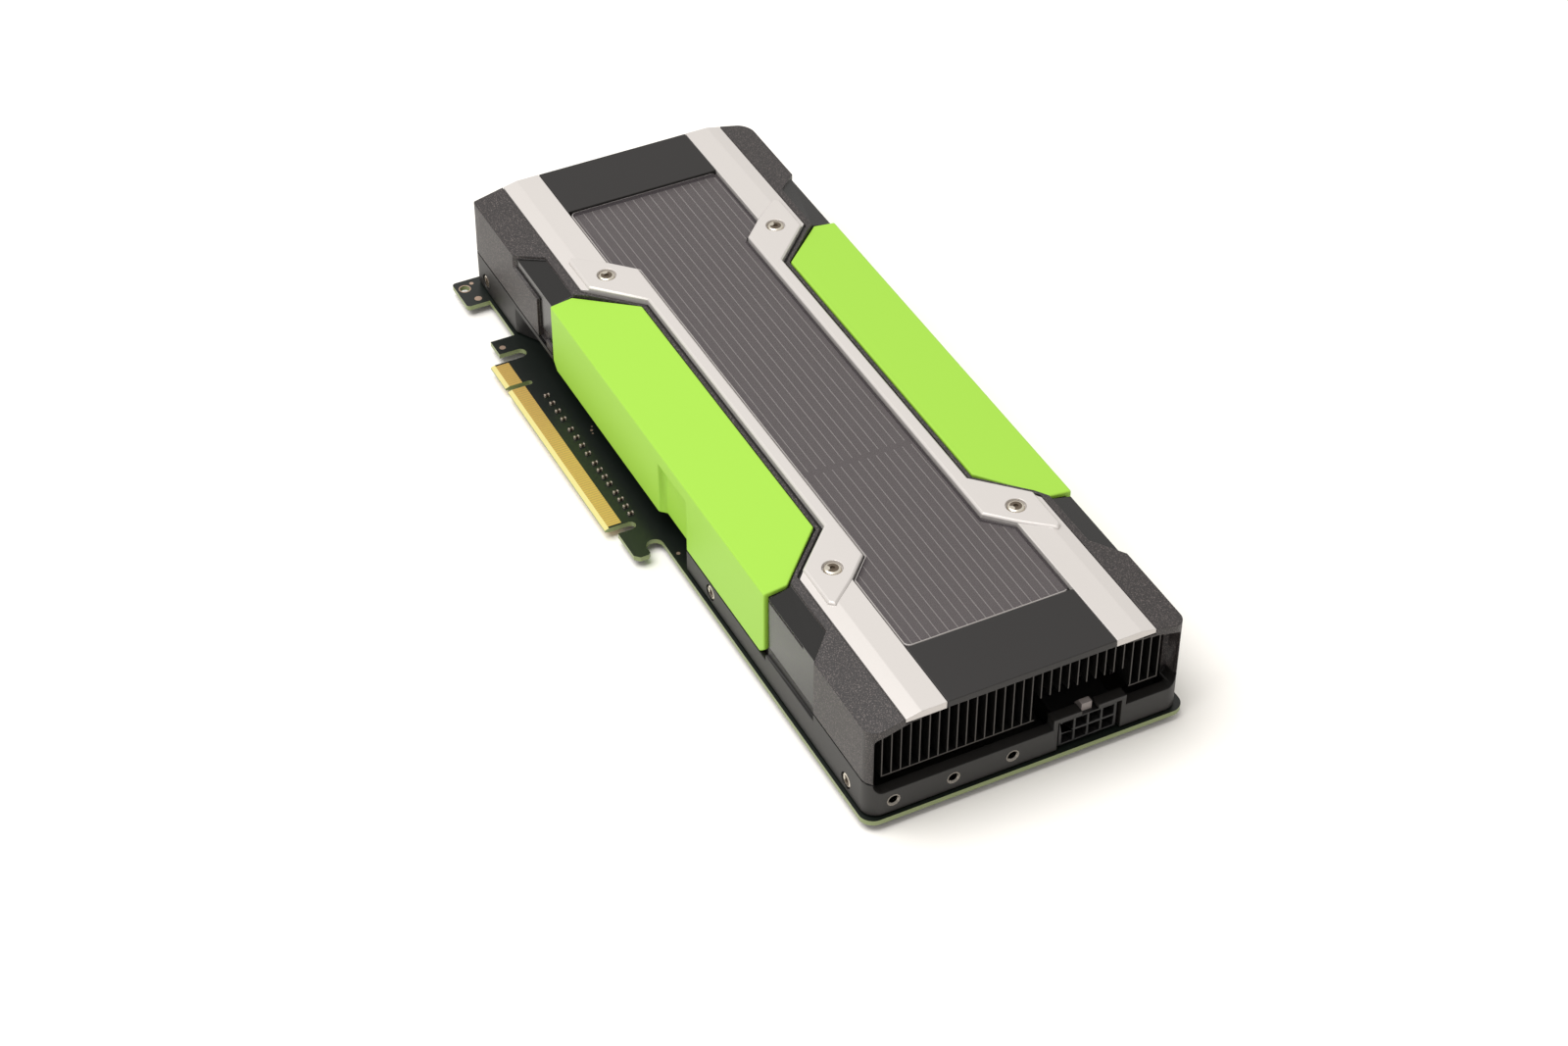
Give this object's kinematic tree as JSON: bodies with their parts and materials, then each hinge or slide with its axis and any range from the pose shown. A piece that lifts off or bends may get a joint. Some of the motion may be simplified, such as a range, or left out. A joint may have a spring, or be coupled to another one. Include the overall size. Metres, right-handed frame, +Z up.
{
  "type": "passive accelerator card",
  "caption": "Full-height dual-slot accelerator card without fans: finned, windowed cover with rails and side panels on a circuit board with edge contacts and a power header.",
  "frame": {"origin": "centre of the bounding box, on the bottom face of the back plate that the card rests on", "axes": "+X along the card from the slot bracket end to the power header end, -Y towards the edge contacts, +Z up from the back plate to the cover"},
  "size_m": [0.267, 0.1112, 0.0385],
  "materials": {
    "board_laminate": "satin",
    "gold_plating": "satin",
    "ceramic": "matt",
    "black_sheet": "satin",
    "screw_steel": "satin",
    "package_laminate": "satin",
    "silicon": "gloss",
    "chip_plastic": "matt",
    "thermal_gel": "matt",
    "can_aluminium": "satin",
    "dark_casting": "satin",
    "plated_brass": "satin",
    "header_plastic": "satin",
    "tinned_pins": "satin",
    "fin_aluminium": "satin",
    "plate_aluminium": "satin",
    "textured_black": "matt",
    "rail_paint": "satin",
    "window_plastic": "gloss",
    "panel_black": "satin",
    "panel_green": "satin"
  },
  "bodies": {
    "root": {"circuit_board": "board_laminate", "edge_contacts": "gold_plating", "board_pads": "gold_plating", "coupling_capacitors": "ceramic", "back_plate": "black_sheet", "back_plate_screws": "screw_steel", "rail_screws": "screw_steel", "heatsink_screws": "screw_steel", "bracket_inserts": "screw_steel", "processor_packages": "package_laminate", "processor_dies": "silicon", "front_memory": "chip_plastic", "rear_memory": "chip_plastic", "bridge_chip": "chip_plastic", "power_stages": "chip_plastic", "power_chokes": "chip_plastic", "thermal_pads": "thermal_gel", "capacitors": "can_aluminium", "base_frame": "dark_casting", "frame_side_screws": "plated_brass", "header_housing": "header_plastic", "header_pins": "tinned_pins", "far_fin_bank": "fin_aluminium", "near_fin_bank": "fin_aluminium", "far_heatsink_plate": "plate_aluminium", "near_heatsink_plate": "plate_aluminium", "shroud": "textured_black", "left_rail": "rail_paint", "right_rail": "rail_paint", "window": "window_plastic", "near_end_panel": "panel_black", "far_end_panel": "panel_black", "left_side_panel": "panel_green", "right_side_panel": "panel_green"}
  },
  "joints": []
}
